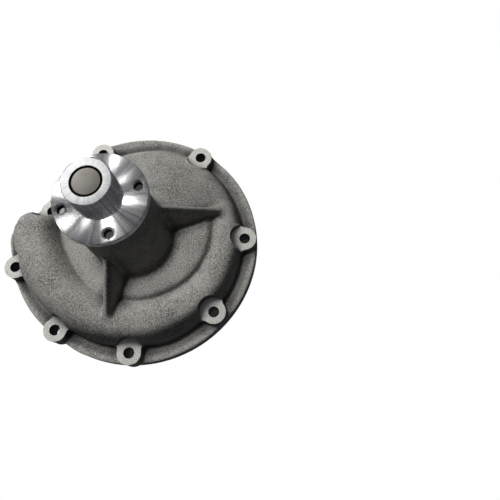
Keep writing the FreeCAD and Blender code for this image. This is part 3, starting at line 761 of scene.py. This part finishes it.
hub = fan_hub()
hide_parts("fan_hub")
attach(hub, "rotor")

pump_shaft = shaft()
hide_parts("shaft")
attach(pump_shaft, "rotor")

# ---- camera ---------------------------------------------------------------------------------

CAMERA_AT = (0.13525, -0.15235, 0.47617)
CAMERA_AXES = ((0.9987, 0.0078, -0.0513), (0.0078, 0.9547, 0.2975), (0.0513, -0.2975, 0.9533))


def add_camera():
    """Camera whose rows of axes are its right, up and backward directions."""
    data = bpy.data.cameras.new("camera")
    data.sensor_width, data.lens = 36.0, 36.0
    data.clip_start, data.clip_end = 0.01, 20.0
    camera = bpy.data.objects.new("camera", data)
    turn = Matrix(CAMERA_AXES).transposed().to_4x4()
    camera.matrix_world = Matrix.Translation(CAMERA_AT) @ turn
    bpy.context.scene.collection.objects.link(camera)
    bpy.context.scene.camera = camera


FLOOR_HALF, FLOOR_DROP = 3.0, 0.0002
UNDER_PUMP_R = (0.110, 0.116)  # painted shade: the floor is dark inside this, hidden by the flange's edge
# brightness of the painted shade under the pump, against 1 for the open floor
UNDER_PUMP_LIGHT = 0.02
FLOOR_BOUNCE = (0.10, 0.10, 0.11)


def add_floor():
    """Pale floor: even white to the camera with painted shade under the pump, and dull to every other
    ray.
    """
    half = FLOOR_HALF
    mesh = bpy.data.meshes.new("floor")
    mesh.from_pydata([(-half, -half, 0), (half, -half, 0), (half, half, 0), (-half, half, 0)],
                     [], [(0, 1, 2, 3)])
    floor = bpy.data.objects.new("floor", mesh)
    bpy.context.scene.collection.objects.link(floor)
    material = bpy.data.materials.new("floor_white")
    material.use_nodes = True
    tree = material.node_tree
    seen = tree.nodes.new("ShaderNodeEmission")
    place = tree.nodes.new("ShaderNodeTexCoord")
    reach = tree.nodes.new("ShaderNodeVectorMath")
    reach.operation = "LENGTH"
    tree.links.new(place.outputs["Object"], reach.inputs[0])
    shade_under = tree.nodes.new("ShaderNodeMapRange")
    limits = ((1, UNDER_PUMP_R[0]), (2, UNDER_PUMP_R[1]), (3, UNDER_PUMP_LIGHT), (4, 1.0))
    for index, value in limits:
        shade_under.inputs[index].default_value = value
    tree.links.new(reach.outputs["Value"], shade_under.inputs[0])
    tree.links.new(shade_under.outputs[0], seen.inputs["Strength"])
    bounced = tree.nodes.new("ShaderNodeBsdfDiffuse")
    bounced.inputs["Color"].default_value = (*FLOOR_BOUNCE, 1)
    mix = tree.nodes.new("ShaderNodeMixShader")
    tree.links.new(tree.nodes.new("ShaderNodeLightPath").outputs["Is Camera Ray"], mix.inputs[0])
    tree.links.new(bounced.outputs[0], mix.inputs[1])
    tree.links.new(seen.outputs[0], mix.inputs[2])
    tree.links.new(mix.outputs[0], tree.nodes["Material Output"].inputs["Surface"])
    mesh.materials.append(material)
    floor.location.z = -FLOOR_DROP


def area_light(name, direction, distance, width, height, power, shadows=True, sees=""):
    """Softbox seen from the hub in a direction; its width runs level."""
    data = bpy.data.lights.new(name, "AREA")
    data.shape = "RECTANGLE"
    data.size, data.size_y, data.energy, data.use_shadow = width, height, power, shadows
    light = bpy.data.objects.new(name, data)
    toward = Vector(direction).normalized()
    light.location = Vector((0, 0, HUB_Z[2] * MM)) + distance * toward
    light.rotation_euler = toward.to_track_quat("Z", "Y").to_euler()
    light.visible_glossy = sees != "diffuse"
    light.visible_diffuse = sees != "glossy"
    bpy.context.scene.collection.objects.link(light)


SKY_COLOR, SKY_LIGHT = (0.82, 0.89, 1.0), 0.03


def add_world():
    """Faint bluish light from all round, with a white backdrop that only the camera sees."""
    world = bpy.data.worlds.new("studio")
    world.use_nodes = True
    sky = world.node_tree
    sky.nodes["Background"].inputs["Color"].default_value = (*SKY_COLOR, 1)
    sky.nodes["Background"].inputs["Strength"].default_value = SKY_LIGHT
    backdrop = sky.nodes.new("ShaderNodeBackground")
    backdrop.inputs["Strength"].default_value = 1.0
    either = sky.nodes.new("ShaderNodeMixShader")
    sky.links.new(sky.nodes.new("ShaderNodeLightPath").outputs["Is Camera Ray"], either.inputs[0])
    sky.links.new(sky.nodes["Background"].outputs[0], either.inputs[1])
    sky.links.new(backdrop.outputs[0], either.inputs[2])
    sky.links.new(either.outputs[0], sky.nodes["World Output"].inputs["Surface"])
    bpy.context.scene.world = world


# Small lamps that only the turned steel's streaks show: direction from the hub, and power
GLEAMS = {
    "gleam_right": ((-0.58, 0.419, 0.698), 2.6),
    "gleam_low": ((-0.436, 0.604, 0.667), 3.4),
    "gleam_left": ((-0.525, 0.215, 0.823), 1.0),
    "gleam_thin": ((-0.249, 0.611, 0.751), 0.9),
}
GLEAM_SIZE, GLEAM_DISTANCE = 0.035, 1.3

add_camera()
add_floor()
add_world()
bpy.context.scene.view_settings.view_transform = "Standard"
area_light("key", (-0.61, 0.53, 0.588), 1.4, 0.4, 0.4, 44, shadows=False, sees="diffuse")
area_light("overhead", (-0.108, 0.27, 0.957), 1.2, 0.5, 0.5, 2.0, sees="diffuse")
for name, (direction, power) in GLEAMS.items():
    area_light(name, direction, GLEAM_DISTANCE, GLEAM_SIZE, GLEAM_SIZE, power, shadows=False,
               sees="glossy")
